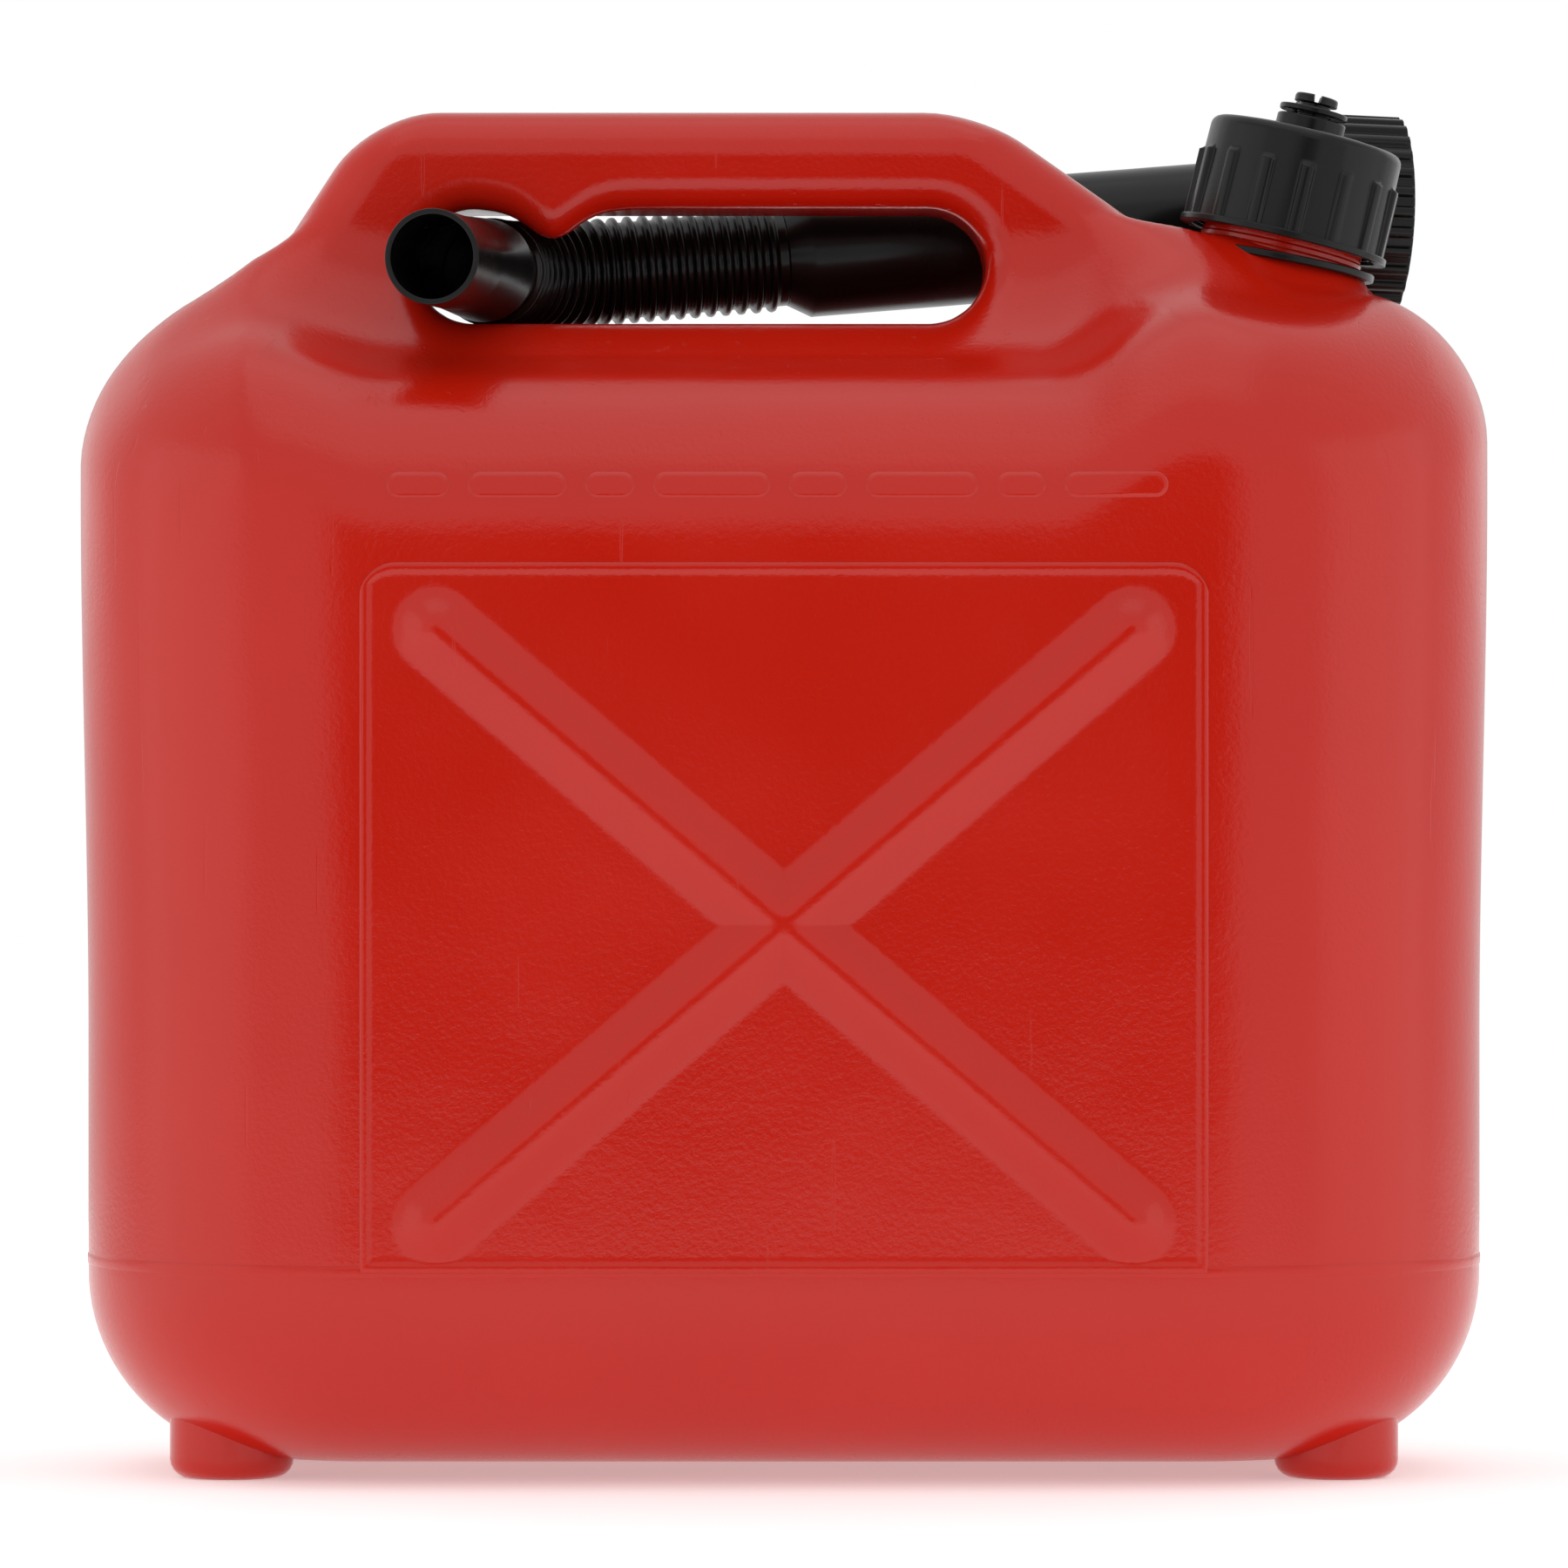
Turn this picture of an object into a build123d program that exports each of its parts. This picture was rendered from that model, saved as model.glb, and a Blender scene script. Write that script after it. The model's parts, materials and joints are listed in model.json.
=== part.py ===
from build123d import *
from math import cos, radians, sin, tan
import os

# Ten-litre plastic fuel can with a push-and-turn screw cap on a captive strap, and a flexible
# pouring spout that is stored through the hand hole.
# Millimetres. +X runs from the handle's end to the neck's end, +Y to the rear, +Z up.
# The origin is on the floor, under the middle of the can.

# ---------------------------------------------------------------- driving dimensions

# tank
tank_width = 320.8
roof_height = 262.0            # where the sloping roof meets the handle
panel_depth = 152.0            # front panel to rear panel, without the cross ribs
plan_radius = 65.0
base_radius = 42.0
wall = 2.2
foot_radius = 14.0
foot_height = 4.0
foot_inset_x = 35.4            # from the tank's side to a foot's axis
foot_inset_y = 48.0
foot_edge_radius = 3.5

# hand hole, sized for the bellows that are stored through it
hole_inset_left = 76.8         # from the tank's left side
hole_inset_right = 114.5       # from the tank's right side
hole_drop = 0.7                # the hole's lower edge below the roof
hole_room = 1.7                # the hole's height over the bellows
nose_drop = 7.4                # the nose that keeps the spout in, on the hole's front edge
nose_room = 18.9
nose_top_width = 25.0
nose_tip_width = 5.0
nose_depth = 10.0

# shoulders and handle, as seen from the front
shoulder_drop = 5.6            # the left shoulder's corner below the roof
shoulder_slope = 17.7
shoulder_radius = 37.0
right_shoulder_radius = 32.0
grip_bar = 22.2                # height of the bar over the hand hole
handle_depth = 40.0
handle_inset_left = 39.4       # from the tank's left side to the handle's foot
handle_left_angle = 57.0
handle_right_angle = 35.1
handle_neck_gap = 5.8          # from the handle's right slope to the strap's ring, at the cap's lower edge
handle_left_radius = 29.0
handle_right_radius = 38.0
handle_edge_radius = 9.0

# roof of the tank, as seen from the side
roof_fall = 24.0               # how much lower the slope ends above the front panel
roof_radius = 40.0
top_radius = 42.0              # rounding of the tank's top all round
trim_margin = 0.4              # the outlines stand this far outside the block's flat sides

# cross ribs and label panel on the front and rear
label_inset = 67.4             # from the tank's side to the panel's edge
label_low_z = 48.4
label_drop = 56.0              # the panel's upper edge below the roof
label_recess = 0.4
rib_width = 19.0
rib_height = 4.0
rib_inset = 16.0               # from the panel's edge to the centre of a rib's round end
rib_low_inset = 11.6
rib_high_inset = 15.0
rib_edge_radius = 3.4

# neck, in its own frame: s runs up the neck's axis from the closed cap's lower edge
neck_tilt = 13.5
neck_inset = 46.0              # from the tank's right side
neck_rise = 18.9               # the closed cap's lower edge above the roof
neck_radius = 18.5
neck_wall = 2.7
neck_rim = 17.4
deck_level = -7.5              # the tank's sloping deck round the neck
flare_width = 6.5
flare_depth = 9.0
bead_height = 0.4
bead_low = -2.3
bead_high = -1.0
thread_pitch = 5.0
thread_turns = 1.5
thread_depth = 1.3
thread_root = 2.4
thread_crest = 1.2
thread_start = 3.2
thread_gap = 0.35              # radial gap between a thread and the part it turns in

# cap
cap_height = 25.4
cap_shell = 0.85
cap_top_thickness = 1.6
cap_taper = 0.4
cap_flange_width = 1.9
cap_flange_thickness = 1.6
cap_shoulder_radius = 2.2
grip_count = 15
grip_width = 2.9
grip_height = 1.3
grip_top = 17.6
cap_press = 1.0
shell_gap = 0.3                # between the outer shell and the threaded inner cap
inner_cap_wall = 1.0
inner_cap_top = 1.8
inner_cap_low = 0.8
seal_thickness = 1.5
seal_gap = 0.05
seal_bore = 3.0
drive_lugs = 12
drive_lug_width = 1.8
drive_lug_inner = 12.0
inner_lug_height = 0.9
outer_lug_height = 1.7
post_base_radius = 8.0
post_base_height = 4.0
post_stem_radius = 3.6
post_head_radius = 5.0
post_head_height = 2.0
post_slot = 1.4

# captive strap
ring_width = 3.4
ring_play = 0.5
ring_thickness = 1.8
ring_level = -4.4
ring_tilt = -2.7
loop_width = 4.0
loop_thickness = 1.4
loop_play = 0.3
loop_lift = 0.8                # the loop's height above the post's base
band_width = 8.0
band_thickness = 1.4
band_gap = 1.0                 # between the band and the cap's flange
band_end_gap = 0.35            # between the band's ends and the ring and loop
band_top_gap = 2.2             # how far the band's crown rises over the loop
band_corner = 6.0

# stored spout: its axis runs from the nozzle's tip to a corner behind the handle, then through the nut
bend_radius = 35.0
bellows_crest_radius = 12.5
bellows_root_radius = 11.2
bellows_wall = 0.9
bellows_pitch = 3.6
crest_width = 1.9
nozzle_tip_radius = 10.75
nozzle_wall = 1.3
nozzle_straight = 24.0
nozzle_step = 0.6              # the nozzle's foot under the bellows' crests
nozzle_length = 54.0
nozzle_reach = 40.0            # how far the nozzle's tip stands out in front of the handle
nozzle_lean = 6.8
corner_room = 8.9
tube_step = 4.2                # the tube's radius under the neck's
tube_wall = 1.6
tube_tuck = 1.5                # how far the tube's start may reach into the hand hole
tube_shoulder = 5.6
tube_overhang = 17.5           # from the nut's middle to the tube's end
spout_flange_step = 0.4        # the flange's radius under the neck's
spout_flange_thickness = 2.2
pilot_radius = 10.5
pilot_length = 9.0
gasket_thickness = 1.8

# union nut, loose on the tube
nut_shift = 14.6               # from the neck to the nut's middle, along X
nut_rise = 9.8                 # the nut's axis above the closed cap's lower edge
nut_droop = 0.37               # how far the loose nut hangs under the tube's axis
nut_gap = 1.6                  # between the nut and the strap's band
nut_tilt = -2.0
nut_turn = 8.4
nut_length = 30.4
nut_wall = 2.25
nut_shoulder = 2.4
nut_play = 2.8
nut_edge_radius = 3.0
nut_grips = 30
nut_grip_height = 1.4
nut_grip_width = 2.2
nut_thread_start = 6.0

# ---------------------------------------------------------------- worked out from the above

half_width = tank_width / 2
half_depth = panel_depth / 2
far = 2 * tank_width + 2 * roof_height
foot_x = half_width - foot_inset_x
foot_y = half_depth - foot_inset_y

hole_left = hole_inset_left - half_width
hole_right = half_width - hole_inset_right
hole_bottom = roof_height - hole_drop
hole_top = hole_bottom + 2 * bellows_crest_radius + hole_room
hole_middle = (hole_bottom + hole_top) / 2
handle_height = hole_top + grip_bar
handle_left_foot = handle_inset_left - half_width
shoulder_height = roof_height - shoulder_drop

label_half_width = half_width - label_inset
label_high_z = roof_height - label_drop
rib_end_x = label_half_width - rib_inset
rib_low_z = label_low_z + rib_low_inset
rib_high_z = label_high_z - rib_high_inset

neck_x = half_width - neck_inset
neck_z = roof_height + neck_rise
bore_radius = neck_radius - neck_wall
bead_radius = neck_radius + bead_height
flare_radius = neck_radius + flare_width
thread_radius = neck_radius + thread_depth
neck_frame = Plane(
    origin=(neck_x, 0, neck_z),
    x_dir=(cos(radians(neck_tilt)), 0, -sin(radians(neck_tilt))),
    z_dir=(sin(radians(neck_tilt)), 0, cos(radians(neck_tilt))),
)

inner_cap_bore = thread_radius + thread_gap
inner_cap_radius = inner_cap_bore + inner_cap_wall
seal_low = neck_rim + seal_gap
inner_cap_ceiling = seal_low + seal_thickness
cap_top_radius = inner_cap_radius + shell_gap + cap_shell
cap_foot_radius = cap_top_radius + cap_taper
cap_flange_radius = cap_top_radius + cap_flange_width
grip_radius = cap_top_radius + grip_height
ring_radius = neck_radius + ring_play + ring_width
handle_run = (handle_height - neck_z) / tan(radians(handle_right_angle))
handle_right_top = neck_x - ring_radius - handle_neck_gap - handle_run
loop_radius = post_stem_radius + loop_play + loop_width
loop_level = cap_height + post_base_height + loop_lift

nozzle_base_radius = bellows_crest_radius - nozzle_step
tube_radius = neck_radius - tube_step
spout_flange_radius = neck_radius - spout_flange_step
nut_hole_radius = tube_radius + nut_play
nut_radius = inner_cap_bore + nut_wall
nut_grip_radius = nut_radius + nut_grip_height
nose_x = hole_left + nozzle_base_radius + nose_room
band_back = cap_flange_radius + band_gap + band_thickness
nut_centre = Vector(neck_x + nut_shift, band_back + nut_gap + nut_grip_radius, neck_z + nut_rise)

nozzle_tip = Vector(
    hole_left + nozzle_base_radius - nozzle_lean,
    -handle_depth / 2 - nozzle_reach,
    hole_middle - 0.35,
)
spout_corner = Vector(
    hole_left + bellows_crest_radius + corner_room,
    handle_depth / 2 + bellows_crest_radius - corner_room,
    hole_middle - 0.55,
)
tube_direction = (nut_centre + Vector(0, 0, nut_droop) - spout_corner).normalized()
nozzle_direction = (nozzle_tip - spout_corner).normalized()
nut_distance = (nut_centre + Vector(0, 0, nut_droop) - spout_corner).length
tube_end = spout_corner + tube_direction * (nut_distance + tube_overhang)
mouth_y = handle_depth / 2 + tube_radius - tube_tuck
tube_mouth = spout_corner + tube_direction * ((mouth_y - spout_corner.Y) / tube_direction.Y)
tube_length = (tube_end - tube_mouth).length
bend_turn = radians(180 - tube_direction.get_angle(nozzle_direction))
bend_tangent = bend_radius * tan(bend_turn / 2)
bend_inner = (tube_direction + nozzle_direction).normalized()
bend_start = spout_corner + tube_direction * bend_tangent
bend_end = spout_corner + nozzle_direction * bend_tangent
bend_middle = spout_corner + bend_inner * (bend_radius / cos(bend_turn / 2) - bend_radius)

# ---------------------------------------------------------------- small helpers


def front_prism(face, depth=far):
    """A face drawn in X and Z, pushed out both ways along Y."""
    return extrude(Plane.XZ * face, amount=depth, both=True)


def side_prism(face):
    """A face drawn in Y and Z, pushed out both ways along X."""
    return extrude(Plane.YZ * face, amount=far, both=True)


def outline(points, radii):
    """A closed outline with a rounding at each corner."""
    return make_face(FilletPolyline(*points, radius=radii, close=True))


def turned(points):
    """A solid of revolution about Z from (radius, height) points."""
    return revolve(Plane.XZ * make_face(Polyline(*points, close=True)), axis=Axis.Z)


def tube(radius, bore, low, high):
    """A plain tube about Z."""
    height = high - low
    body = Cylinder(radius, height) - Cylinder(bore, height + 1)
    return Pos(0, 0, (low + high) / 2) * body


def thread(radius, start, depth):
    """A thread of trapezoid section on a cylinder: depth is positive outwards, negative inwards."""
    helix = Helix(thread_pitch, thread_pitch * thread_turns, radius, center=(0, 0, start))
    sink = -0.3 if depth > 0 else 0.3
    section = Polyline(
        (radius + sink, start - thread_root / 2),
        (radius, start - thread_root / 2),
        (radius + depth, start - thread_crest / 2),
        (radius + depth, start + thread_crest / 2),
        (radius, start + thread_root / 2),
        (radius + sink, start + thread_root / 2),
        close=True,
    )
    return sweep(Plane.XZ * make_face(section), path=helix, is_frenet=True)


def axis_frame(origin, direction):
    """A plane at a point, with Z along a direction and X as level as can be."""
    level = Vector(0, 0, 1).cross(direction)
    return Plane(origin=origin, x_dir=level, z_dir=direction)


# ---------------------------------------------------------------- tank


def tank_front():
    """The can's outline from the front, shoulders, handle and neck deck, open downwards."""
    left = -half_width - trim_margin
    right = half_width + trim_margin
    slope = tan(radians(shoulder_slope))
    foot_z = shoulder_height + (handle_left_foot - left) * slope
    rise = (handle_height - foot_z) / tan(radians(handle_left_angle))
    deck_slope = tan(radians(neck_tilt))
    deck_x = neck_x + deck_level * sin(radians(neck_tilt))
    deck_z = neck_z + deck_level * cos(radians(neck_tilt))
    fall = tan(radians(handle_right_angle))
    meet = (handle_height + fall * handle_right_top - deck_z - deck_slope * deck_x) / (fall - deck_slope)
    points = [
        (left, -50),
        (left, shoulder_height),
        (handle_left_foot, foot_z),
        (handle_left_foot + rise, handle_height),
        (handle_right_top, handle_height),
        (meet, deck_z - deck_slope * (meet - deck_x)),
        (right, deck_z - deck_slope * (right - deck_x)),
        (right, -50),
    ]
    radii = [0, shoulder_radius, 6, handle_left_radius, handle_right_radius, 10, right_shoulder_radius, 0]
    return outline(points, radii)


def tank_roof():
    """The tank's outline from the side: tall flat panels under a sloping roof."""
    edge = half_depth + trim_margin
    ridge = handle_depth / 2
    points = [
        (-edge, -50),
        (-edge, roof_height - roof_fall),
        (-ridge, roof_height),
        (ridge, roof_height),
        (edge, roof_height - roof_fall),
        (edge, -50),
    ]
    return outline(points, [0, roof_radius, 0, 0, roof_radius, 0])


def handle_side():
    """The handle's outline from the side: a narrow upright slab with a rounded top."""
    height = handle_height + trim_margin + 50
    centre = Pos(0, handle_height + trim_margin - height / 2)
    slab = centre * Rectangle(handle_depth, height)
    return fillet(slab.vertices().group_by(Axis.Y)[-1], handle_edge_radius)


def hand_hole(grow):
    """The hand hole's outline, grown on all sides."""
    width = hole_right - hole_left
    height = hole_top - hole_bottom
    centre = ((hole_left + hole_right) / 2, (hole_bottom + hole_top) / 2)
    return Pos(*centre) * SlotOverall(width + 2 * grow, height + 2 * grow)


def retaining_nose(inset):
    """The nose that hangs into the hand hole from the handle's front edge."""
    top = hole_top + 4
    low = hole_top - nose_drop + inset
    points = [
        (nose_x - nose_top_width / 2, top),
        (nose_x - nose_top_width / 2 + inset, hole_top),
        (nose_x - nose_tip_width / 2, low),
        (nose_x + nose_tip_width / 2, low),
        (nose_x + nose_top_width / 2 - inset, hole_top),
        (nose_x + nose_top_width / 2, top),
    ]
    nose = extrude(Plane.XZ * outline(points, [0, 3, 2.4, 2.4, 3, 0]), amount=nose_depth - 2 * inset)
    return Pos(0, nose_depth - handle_depth / 2 - inset, 0) * nose


def cross_ribs(inset):
    """Two crossing rounded ribs on the front and the same on the rear."""
    length = 2 * (rib_end_x**2 + ((rib_high_z - rib_low_z) / 2) ** 2) ** 0.5
    angle = Vector(2 * rib_end_x, rib_high_z - rib_low_z).get_angle(Vector(1, 0))
    centre = Pos(0, (rib_low_z + rib_high_z) / 2)
    width = rib_width - 2 * inset
    deep = rib_height + 6
    ribs = []
    for lean in (angle, -angle):
        arm = extrude(SlotCenterToCenter(length, width), amount=deep - inset)
        arm = fillet(arm.faces().sort_by(Axis.Z)[-1].edges(), rib_edge_radius - inset / 2)
        ribs.append(centre * Rot(0, 0, lean) * arm)
    cross = ribs[0] + ribs[1]
    front = Plane.XZ.offset(half_depth + rib_height - deep) * cross
    return front + Rot(0, 0, 180) * front


def feet(inset):
    """Four round feet under the rounded corners of the base."""
    high = base_radius
    foot = extrude(Circle(foot_radius - inset), amount=high - inset)
    foot = fillet(foot.edges().sort_by(Axis.Z)[0], foot_edge_radius - inset / 2)
    spots = [(x, y) for x in (-foot_x, foot_x) for y in (-foot_y, foot_y)]
    return [Pos(x, y, inset) * foot for x, y in spots]


def tank_form(inset):
    """The tank and handle as one full shape, its surface moved inwards by the inset."""
    plan = RectangleRounded(tank_width - 2 * inset, panel_depth - 2 * inset, plan_radius - inset)
    pillar = Pos(0, 0, foot_height + inset) * extrude(plan, amount=handle_height)
    pillar = fillet(pillar.faces().sort_by(Axis.Z)[0].edges(), base_radius - inset)
    tank = pillar - Pos(0, 0, roof_height - inset + far / 2) * Box(far, far, far)
    tank = fillet(tank.faces().sort_by(Axis.Z)[-1].edges(), top_radius - inset)
    tank = tank & side_prism(offset(tank_roof(), -inset))
    handle = pillar & side_prism(offset(handle_side(), -inset))
    return tank + (handle & front_prism(offset(tank_front(), -inset)))


def neck_outside():
    """The neck with its flare, bead and thread, in the neck's frame."""
    body = turned([
        (0, -20),
        (flare_radius, -20),
        (flare_radius, deck_level - flare_depth),
        (neck_radius, deck_level - 0.2),
        (neck_radius, bead_low - 0.5),
        (bead_radius, bead_low),
        (bead_radius, bead_high),
        (neck_radius, bead_high + 0.5),
        (neck_radius, neck_rim),
        (0, neck_rim),
    ])
    return body + thread(neck_radius, thread_start, thread_depth)


def can_body():
    """The blow-moulded tank, with its hand hole, neck, feet and ribs, hollow throughout."""
    outside = tank_form(0)
    label = Box(2 * label_half_width, 2 * label_recess, label_high_z - label_low_z)
    for y in (-half_depth, half_depth):
        outside -= Pos(0, y, (label_low_z + label_high_z) / 2) * label
    outside += feet(0)
    outside += cross_ribs(0)
    outside -= front_prism(hand_hole(0))
    outside += retaining_nose(0)
    outside += neck_frame.location * neck_outside()

    inside = tank_form(wall)
    inside += feet(wall)
    inside += cross_ribs(wall)
    inside -= front_prism(hand_hole(wall))
    bore = Pos(0, 0, (neck_rim - 24) / 2) * Cylinder(bore_radius, neck_rim + 26)
    return outside - inside - neck_frame.location * bore


# ---------------------------------------------------------------- cap and strap


def lugs(height, level, turn):
    """A ring of radial drive lugs standing on a level."""
    length = inner_cap_radius - 1 - drive_lug_inner
    lug = Box(length, drive_lug_width, height)
    place = Pos(drive_lug_inner + length / 2, 0, level + height / 2)
    return [Rot(0, 0, turn + 360 * i / drive_lugs) * place * lug for i in range(drive_lugs)]


def cap_inner():
    """The threaded inner cap, driven through the lugs on its top."""
    top = inner_cap_ceiling + inner_cap_top
    body = turned([
        (0, inner_cap_ceiling),
        (inner_cap_bore, inner_cap_ceiling),
        (inner_cap_bore, inner_cap_low),
        (inner_cap_radius, inner_cap_low),
        (inner_cap_radius, top),
        (0, top),
    ])
    body += thread(inner_cap_bore, thread_start + thread_pitch / 2, -thread_depth)
    return body + lugs(inner_lug_height, top, 0)


def cap_seal():
    """The sealing disc that lies on the neck's rim."""
    return tube(inner_cap_bore - 0.2, seal_bore, seal_low, seal_low + seal_thickness)


def cap_outer():
    """The grip shell, free to move down over the inner cap until the lugs mesh."""
    ceiling = cap_height - cap_top_thickness
    shell = turned([
        (0, cap_height),
        (cap_top_radius - cap_shoulder_radius, cap_height),
        (cap_top_radius - 0.3 * cap_shoulder_radius, cap_height - 0.3 * cap_shoulder_radius),
        (cap_top_radius, cap_height - cap_shoulder_radius),
        (cap_foot_radius, cap_flange_thickness),
        (cap_flange_radius, cap_flange_thickness),
        (cap_flange_radius, 0),
        (cap_top_radius - cap_shell, 0),
        (cap_top_radius - cap_shell, ceiling),
        (0, ceiling),
    ])
    grip = Box(grip_radius - cap_top_radius + 0.4, grip_width, grip_top)
    place = Pos((grip_radius + cap_top_radius - 0.4) / 2, 0, grip_top / 2)
    grips = [Rot(0, 0, -88 + 360 * i / grip_count) * place * grip for i in range(grip_count)]
    shell = shell + grips + lugs(outer_lug_height, ceiling - outer_lug_height, 180 / drive_lugs)
    return shell + strap_post()


def strap_post():
    """The snap post on the cap: a base, a stem and a split head that holds the strap's loop."""
    stem_top = loop_level + loop_thickness + cap_press + 0.1
    head_top = stem_top + post_head_height
    post = turned([
        (0, cap_height - 0.2),
        (post_base_radius, cap_height - 0.2),
        (post_base_radius, cap_height + post_base_height),
        (post_stem_radius, cap_height + post_base_height),
        (post_stem_radius, stem_top),
        (post_head_radius, stem_top),
        (post_head_radius, head_top - 0.7),
        (post_head_radius - 0.7, head_top),
        (0, head_top),
    ])
    slot = Pos(0, 0, head_top) * Box(3 * post_head_radius, post_slot, 2 * (head_top - stem_top + 1.6))
    notch = Pos(0, -post_base_radius, cap_height + post_base_height - 1) * Box(4, 5, 2.1)
    return post - slot - notch


def strap_ring():
    """The strap's ring, lying a little tilted on the neck under the cap."""
    ring = tube(ring_radius, neck_radius + ring_play, -ring_thickness / 2, ring_thickness / 2)
    return Pos(0, 0, ring_level) * Rot(0, ring_tilt, 0) * ring


def strap_loop():
    """The strap's loop, loose on the snap post."""
    return tube(loop_radius, post_stem_radius + loop_play, loop_level, loop_level + loop_thickness)


def strap_band():
    """The flexible band that rises behind the cap from the ring to the loop."""
    out = cap_flange_radius + band_gap + band_thickness / 2
    start = (ring_radius + band_end_gap, ring_level)
    crown = loop_level + loop_thickness / 2 + band_top_gap
    end = (loop_radius + band_end_gap, loop_level + loop_thickness / 2)
    route = FilletPolyline(
        start,
        (out, ring_level),
        (out, crown),
        (loop_radius + band_corner, crown),
        end,
        radius=[2.2, band_corner, 1.8],
    )
    strip = trace(route, line_width=band_thickness)
    return extrude(Plane.YZ * strip, amount=band_width / 2, both=True)


# ---------------------------------------------------------------- spout

nozzle_frame = axis_frame(nozzle_tip, nozzle_direction * -1)
tube_frame = axis_frame(tube_mouth, tube_direction)


def spout_nozzle():
    """The conical nozzle: its tip fits a filler neck, its foot is pushed into the bellows' cuff."""
    outer = [
        (nozzle_tip_radius, 0),
        (nozzle_tip_radius, nozzle_straight),
        (nozzle_base_radius, nozzle_length),
    ]
    inner = [(r - nozzle_wall, z) for r, z in reversed(outer)]
    return nozzle_frame.location * turned(outer + inner)


def spout_bellows():
    """The corrugated part of the spout, round the bend from the nozzle to the tube."""
    nozzle_foot = nozzle_tip - nozzle_direction * nozzle_length
    route = Wire([
        Line(tube_mouth, bend_start),
        ThreePointArc(bend_start, bend_middle, bend_end),
        Line(bend_end, nozzle_foot),
    ])
    section = Plane(origin=tube_mouth, z_dir=tube_direction * -1)
    core = sweep(section * Circle(bellows_root_radius), path=route)
    hollow = sweep(section * Circle(bellows_root_radius - bellows_wall), path=route)
    count = int((route.length - bellows_pitch) // bellows_pitch)
    crest = Cylinder(bellows_crest_radius, crest_width)
    for i in range(count):
        at = (i + 1) * bellows_pitch / route.length
        core += Plane(origin=route @ at, z_dir=route % at).location * crest
    return core - hollow


def spout_tube():
    """The stiff tube, with a shoulder at the bellows and a flange and pilot at the open end."""
    flange_top = tube_length - pilot_length
    outer = [
        (bellows_root_radius, 0.1),
        (tube_radius, tube_shoulder),
        (tube_radius, flange_top - spout_flange_thickness),
        (spout_flange_radius, flange_top - spout_flange_thickness),
        (spout_flange_radius, flange_top),
        (pilot_radius, flange_top),
        (pilot_radius, tube_length),
    ]
    inner = [
        (pilot_radius - tube_wall, tube_length),
        (pilot_radius - tube_wall, flange_top - spout_flange_thickness),
        (tube_radius - tube_wall, flange_top - spout_flange_thickness - 3),
        (tube_radius - tube_wall, tube_shoulder),
        (bellows_root_radius - tube_wall, 0.1),
    ]
    return tube_frame.location * turned(outer + inner)


def spout_gasket():
    """The flat ring that seals the flange on the neck's rim, held on the pilot."""
    low = tube_length - pilot_length
    return tube_frame.location * tube(spout_flange_radius - 0.2, pilot_radius, low, low + gasket_thickness)


def nut_frame():
    """The union nut's own frame, Z along its axis towards the open end."""
    lean = radians(nut_tilt)
    turn = radians(nut_turn)
    direction = Vector(cos(lean) * cos(turn), cos(lean) * sin(turn), sin(lean))
    return axis_frame(nut_centre - direction * (nut_length / 2), direction)


def spout_nut():
    """The ribbed union nut, whose thread is the same as the cap's."""
    bore = inner_cap_bore
    body = turned([
        (nut_hole_radius, 0),
        (nut_radius - nut_edge_radius, 0),
        (nut_radius - 0.3 * nut_edge_radius, 0.3 * nut_edge_radius),
        (nut_radius, nut_edge_radius),
        (nut_radius, nut_length),
        (bore, nut_length),
        (bore, nut_shoulder),
        (nut_hole_radius, nut_shoulder),
    ])
    body += thread(bore, nut_thread_start, -thread_depth)
    length = nut_length - nut_edge_radius
    grip = Box(nut_grip_radius - nut_radius + 0.6, nut_grip_width, length)
    place = Pos((nut_grip_radius + nut_radius - 0.6) / 2, 0, nut_edge_radius + length / 2)
    grips = [Rot(0, 0, 360 * i / nut_grips) * place * grip for i in range(nut_grips)]
    return nut_frame().location * (body + grips)


# ---------------------------------------------------------------- all parts

parts = {
    "can_body": can_body(),
    "strap_ring": neck_frame.location * strap_ring(),
    "strap_band": neck_frame.location * strap_band(),
    "strap_loop": neck_frame.location * strap_loop(),
    "cap_inner": neck_frame.location * cap_inner(),
    "cap_seal": neck_frame.location * cap_seal(),
    "cap_outer": neck_frame.location * cap_outer(),
    "spout_nozzle": spout_nozzle(),
    "spout_bellows": spout_bellows(),
    "spout_tube": spout_tube(),
    "spout_gasket": spout_gasket(),
    "spout_nut": spout_nut(),
}

os.makedirs("parts", exist_ok=True)
for name, solid in parts.items():
    export_step(solid, f"parts/{name}.step")
    print(name, len(solid.solids()), round(solid.volume / 1000, 2), "cm3")

capacity = tank_form(wall).volume / 1e6
print("inside of the tank and handle before the hand hole:", round(capacity, 2), "litres")
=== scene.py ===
# %% [markdown]
# # A ten-litre plastic fuel can
# The can is blow moulded: a hot tube of red polyethylene is caught between two mould halves and
# blown against their walls. Everything round it is injection moulded in black: a ribbed screw cap
# on a captive strap, and a pouring spout that is stored through the hand hole.
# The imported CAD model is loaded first. Every piece made here takes its place from it.

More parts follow.
